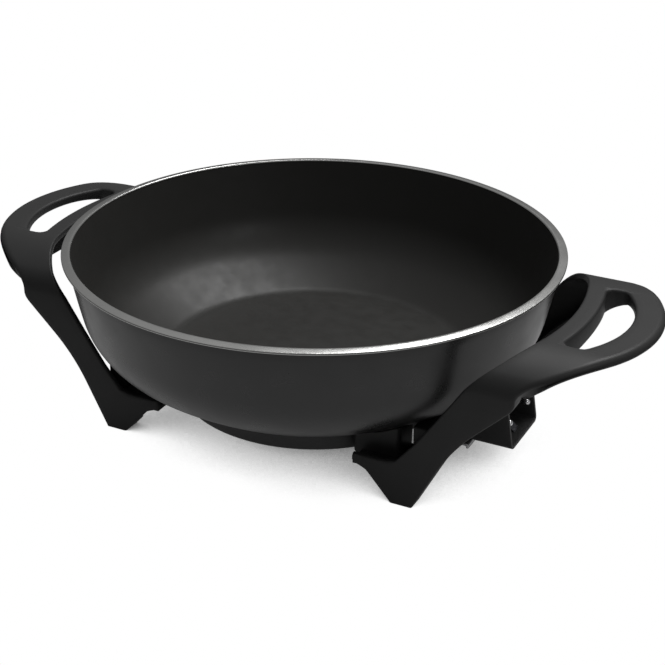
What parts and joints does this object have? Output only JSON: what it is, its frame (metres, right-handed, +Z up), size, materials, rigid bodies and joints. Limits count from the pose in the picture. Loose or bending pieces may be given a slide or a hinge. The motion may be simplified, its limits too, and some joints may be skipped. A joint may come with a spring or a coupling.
{
  "type": "electric wok",
  "caption": "Electric wok: a round coated bowl with a bright rim on two black loop-handled leg mouldings, with a thermostat inlet under the right handle.",
  "frame": {"origin": "on the bowl's axis at the height of the feet, the bottom centre of the bounding box", "axes": "+X from handle to handle towards the thermostat inlet, -Y the front, +Z up out of the bowl"},
  "size_m": [0.495, 0.35, 0.1327],
  "materials": {
    "coated_casting": "satin",
    "black_moulding": "matte",
    "black_enamel": "satin",
    "steel": "satin",
    "element_sheath": "matte",
    "plated_pin": "polished",
    "blued_spring": "satin",
    "silicone": "matte",
    "steatite": "matte"
  },
  "bodies": {
    "root": {"bowl": "coated_casting", "handle_right": "black_moulding", "handle_left": "black_moulding", "handle_screws": "steel", "handle_washers": "steel", "base_cap": "black_enamel", "base_gasket": "silicone", "base_screws": "steel", "heating_element": "element_sheath", "element_clamp": "steel", "clamp_screws": "steel", "terminal_pins": "plated_pin", "pin_insulators": "steatite", "sheath_seals": "silicone", "sheath_retainers": "steel", "probe_socket": "steel", "inlet_shroud": "black_moulding", "shroud_bracket": "steel", "bracket_screws": "steel", "earth_contact": "blued_spring", "earth_screw": "steel"}
  },
  "joints": []
}
